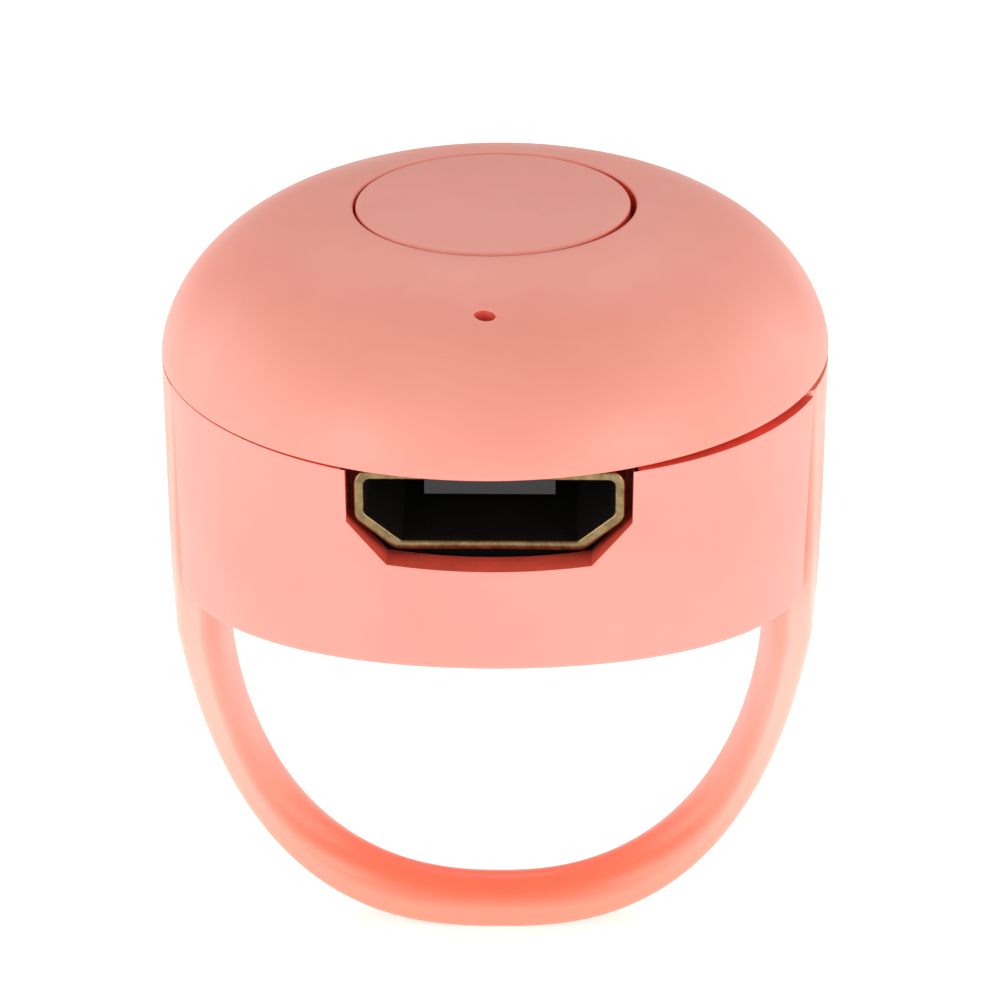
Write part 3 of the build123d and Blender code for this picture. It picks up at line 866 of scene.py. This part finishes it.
pink_lid = plastic("pink_lid", (0.90, 0.345, 0.27), (0.84, 0.29, 0.22), 0.42)
pink_base = plastic("pink_base", (0.92, 0.355, 0.29), (0.87, 0.30, 0.24), 0.40)
pink_cap = plastic("pink_cap", (0.89, 0.35, 0.28), (0.83, 0.30, 0.235), 0.44)
pink_band = plastic("pink_band", (0.93, 0.36, 0.26), (0.89, 0.30, 0.21), 0.36, subsurface=0.3)
# painted highlight tint for the band's edges, then painted shade tint for its lowest part
paint_band_highlight_and_shade(pink_band, (0.93, 0.52, 0.43), (0.92, 0.21, 0.11))
# painted shade: deep red on the faces in the gaps, the holes and the socket's notch, near black on the
# shells' inner faces
painted_shade_red = simple("painted_shade_red", (0.85, 0.10, 0.06), 0.5, scale=900.0, vary=0.15)
painted_shade_dark = simple("painted_shade_dark", (0.16, 0.02, 0.015), 0.6, scale=900.0, vary=0.15)
gold = simple("socket_gold_leaf", (0.27, 0.19, 0.09), 0.28, metallic=1.0, scale=3000.0, vary=0.35)
# painted shade: a near black copy of the socket's metal for its inner faces
socket_painted_shade = simple("socket_inside_painted_shade", (0.02, 0.018, 0.014), 0.5, metallic=0.6)

SLOTS = {
    "switch_housing": simple("switch_nylon", (0.02, 0.02, 0.022), 0.5),
    "switch_cover": simple("switch_sheet", (0.6, 0.6, 0.58), 0.3, 1.0, stretch=(1, 12, 1)),
    "switch_plunger": simple("plunger_nylon", (0.8, 0.8, 0.76), 0.45),
    "switch_snap_dome": simple("spring_sheet", (0.65, 0.65, 0.63), 0.25, 1.0),
    "switch_terminals": simple("tinned_legs", (0.7, 0.7, 0.68), 0.3, 1.0),
    "main_board": simple("solder_mask", (0.012, 0.014, 0.014), 0.4, scale=900.0),
    "usb_tongue": simple("tongue_plastic", (0.018, 0.018, 0.02), 0.45),
    "usb_contacts": simple("contact_plate", (0.8, 0.6, 0.28), 0.25, 1.0),
    "radio_chip": simple("chip_epoxy", (0.03, 0.03, 0.032), 0.55, scale=4000.0),
    "charge_chip": simple("chip_epoxy_small", (0.03, 0.03, 0.032), 0.55, scale=4000.0),
    "crystal_can": simple("crystal_lid", (0.7, 0.7, 0.66), 0.28, 1.0),
    "antenna_chip": simple("antenna_ceramic", (0.75, 0.75, 0.7), 0.3),
    "status_led": simple("led_epoxy", (0.85, 0.82, 0.7), 0.2),
    "chip_resistors": simple("resistor_film", (0.03, 0.03, 0.035), 0.35),
    "chip_capacitors": simple("capacitor_ceramic", (0.42, 0.28, 0.16), 0.5),
    "battery_cell": simple("pouch_foil", (0.68, 0.69, 0.72), 0.35, 0.9, scale=600.0, bump=0.05),
    "protection_board": simple("small_board", (0.012, 0.014, 0.014), 0.4),
    "cell_tape": simple("polyimide_film", (0.7, 0.3, 0.03), 0.3),
    "cell_pad": simple("foam_tape", (0.05, 0.05, 0.05), 0.9),
    "cell_wire_red": simple("red_insulation", (0.5, 0.02, 0.015), 0.4),
    "cell_wire_black": simple("black_insulation", (0.02, 0.02, 0.02), 0.4),
}
for name, mat in SLOTS.items():
    dress(NODES[name], mat)

# ---------------------------------------------------------------- pieces
lid = build_lid()
cap = build_cap()
base = build_base()
band = build_band()
socket = build_socket()
# the second and third materials of the lid, base and button, and the socket's second, are painted shade
for piece, mats, pick, stands_for, body, slot in (
    (lid, (pink_lid, painted_shade_red, painted_shade_dark), lid_side, "lid_shell", "housing", "shell_pink"),
    (base, (pink_base, painted_shade_red, painted_shade_dark), base_side, "base_shell", "housing", "shell_pink"),
    (band, (pink_band,), None, "finger_band", "housing", "band_pink"),
    (cap, (pink_cap, painted_shade_red), cap_side, "button_cap", "button", "button_pink"),
    (socket, (gold, socket_painted_shade), socket_side, "usb_shell", "housing", "socket_gold"),
):
    dress(piece, *mats, pick=pick)
    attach(piece, body)
    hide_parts(stands_for)
for piece in (lid, cap):
    tilt(piece)

# ---------------------------------------------------------------- floor and light
floor_z = (band_low.z - 0.02) * MM
mesh = bpy.data.meshes.new("floor")
mesh.from_pydata([(-2, -2, floor_z), (2, -2, floor_z), (2, 2, floor_z), (-2, 2, floor_z)], [], [(0, 1, 2, 3)])
floor = bpy.data.objects.new("floor", mesh)
bpy.context.scene.collection.objects.link(floor)
floor_mat = bpy.data.materials.new("floor_white")
tree, nodes, wires, shader = links(floor_mat)
shader.inputs["Base Color"].default_value = (0.95, 0.95, 0.95, 1)
shader.inputs["Roughness"].default_value = 0.9
shader.inputs["Specular IOR Level"].default_value = 0.1
shader.inputs["Emission Color"].default_value = (1, 1, 1, 1)
shader.inputs["Emission Strength"].default_value = 0.45
dress(floor, floor_mat)


def area_light(name, azimuth, elevation, distance, size, power):
    """A soft light aimed at the housing; azimuth 0 is the camera's side."""
    data = bpy.data.lights.new(name, "AREA")
    data.shape = "RECTANGLE"
    data.size, data.size_y = size
    data.energy = power
    obj = bpy.data.objects.new(name, data)
    bpy.context.scene.collection.objects.link(obj)
    a, e = math.radians(azimuth), math.radians(elevation)
    target = Vector((0, 0, SEAM * 0.5)) * MM
    spot = Vector((math.sin(a) * math.cos(e), -math.cos(a) * math.cos(e), math.sin(e))) * distance
    obj.location = target + spot
    obj.rotation_euler = (-spot).to_track_quat("-Z", "Y").to_euler()


area_light("key_left", -48, 14, 0.35, (0.16, 0.2), 0.4)
area_light("key_right", 48, 14, 0.35, (0.16, 0.2), 0.4)
area_light("side_left", -105, 8, 0.35, (0.3, 0.3), 0.55)
area_light("side_right", 105, 8, 0.35, (0.3, 0.3), 0.55)
area_light("back", 180, 50, 0.4, (0.3, 0.2), 0.3)
world = bpy.data.worlds.new("studio")
bpy.context.scene.world = world
world.use_nodes = True
world.node_tree.nodes["Background"].inputs["Color"].default_value = (1, 1, 1, 1)
world.node_tree.nodes["Background"].inputs["Strength"].default_value = 0.45
bpy.context.scene.view_settings.view_transform = "Standard"
